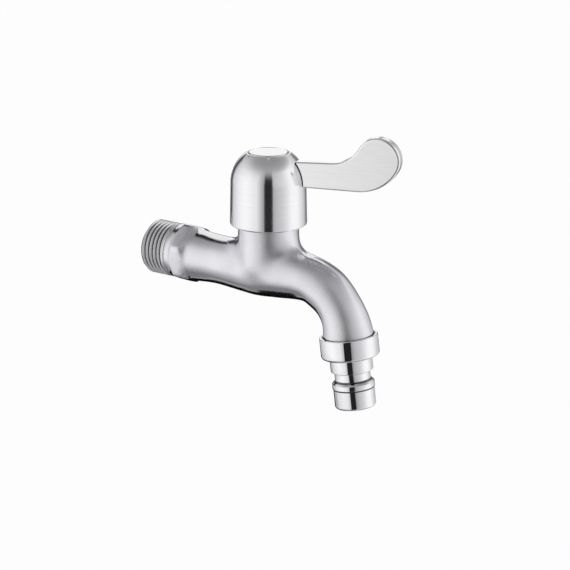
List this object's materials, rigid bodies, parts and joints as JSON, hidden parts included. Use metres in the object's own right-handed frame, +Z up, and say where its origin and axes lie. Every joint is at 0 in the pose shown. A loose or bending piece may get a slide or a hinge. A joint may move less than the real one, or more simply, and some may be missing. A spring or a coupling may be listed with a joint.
{
  "type": "lever tap",
  "caption": "Wall-mounted quarter-turn lever tap with male thread inlet, waisted body, bent spout and a union nut holding a quick-connect hose nipple.",
  "frame": {"origin": "centre of the inlet thread's inner end on the inlet axis, in the plane of the wall face it is screwed into", "axes": "+X out of the wall along the inlet axis towards the spout, +Z up along the handle axis, +Y to the left seen from the front"},
  "size_m": [0.1036, 0.0322, 0.101],
  "materials": {
    "cast_steel_body": "investment-cast stainless steel, satin brushed",
    "brushed_dome": "pressed stainless steel, finely brushed along the handle axis",
    "chrome_nut": "polished chrome",
    "chrome_nipple": "polished chrome",
    "chrome_lever": "pale polished chrome",
    "chrome_cap": "polished chrome on moulded plastic",
    "brass": "turned brass",
    "ceramic": "lapped alumina",
    "rubber": "moulded nitrile rubber",
    "fibre": "pressed red fibre",
    "ptfe": "turned low-friction plastic",
    "plain_steel": "plain stainless steel"
  },
  "bodies": {
    "tap_body": {"valve_body": "cast_steel_body", "headwork_body": "brass", "headwork_gasket": "fibre", "seat_seal": "rubber", "seal_ring": "plain_steel", "fixed_disc": "ceramic", "union_nut": "chrome_nut", "hose_nipple": "chrome_nipple", "nipple_washer": "rubber"},
    "handle": {"handle_dome": "brushed_dome", "handle_hub": "brass", "lever_blade": "chrome_lever", "handle_screw": "plain_steel", "screw_washer": "plain_steel", "index_cap": "chrome_cap", "spindle": "brass", "spindle_orings": "rubber", "thrust_washer": "ptfe", "spindle_clip": "plain_steel", "moving_disc": "ceramic"}
  },
  "joints": [
    {"name": "handle_turn", "type": "hinge", "parent": "tap_body", "child": "handle", "pos_m": [0.0432, 0, 0.025], "axis": [0, 0, 1], "range_deg": [-18, 72]}
  ]
}
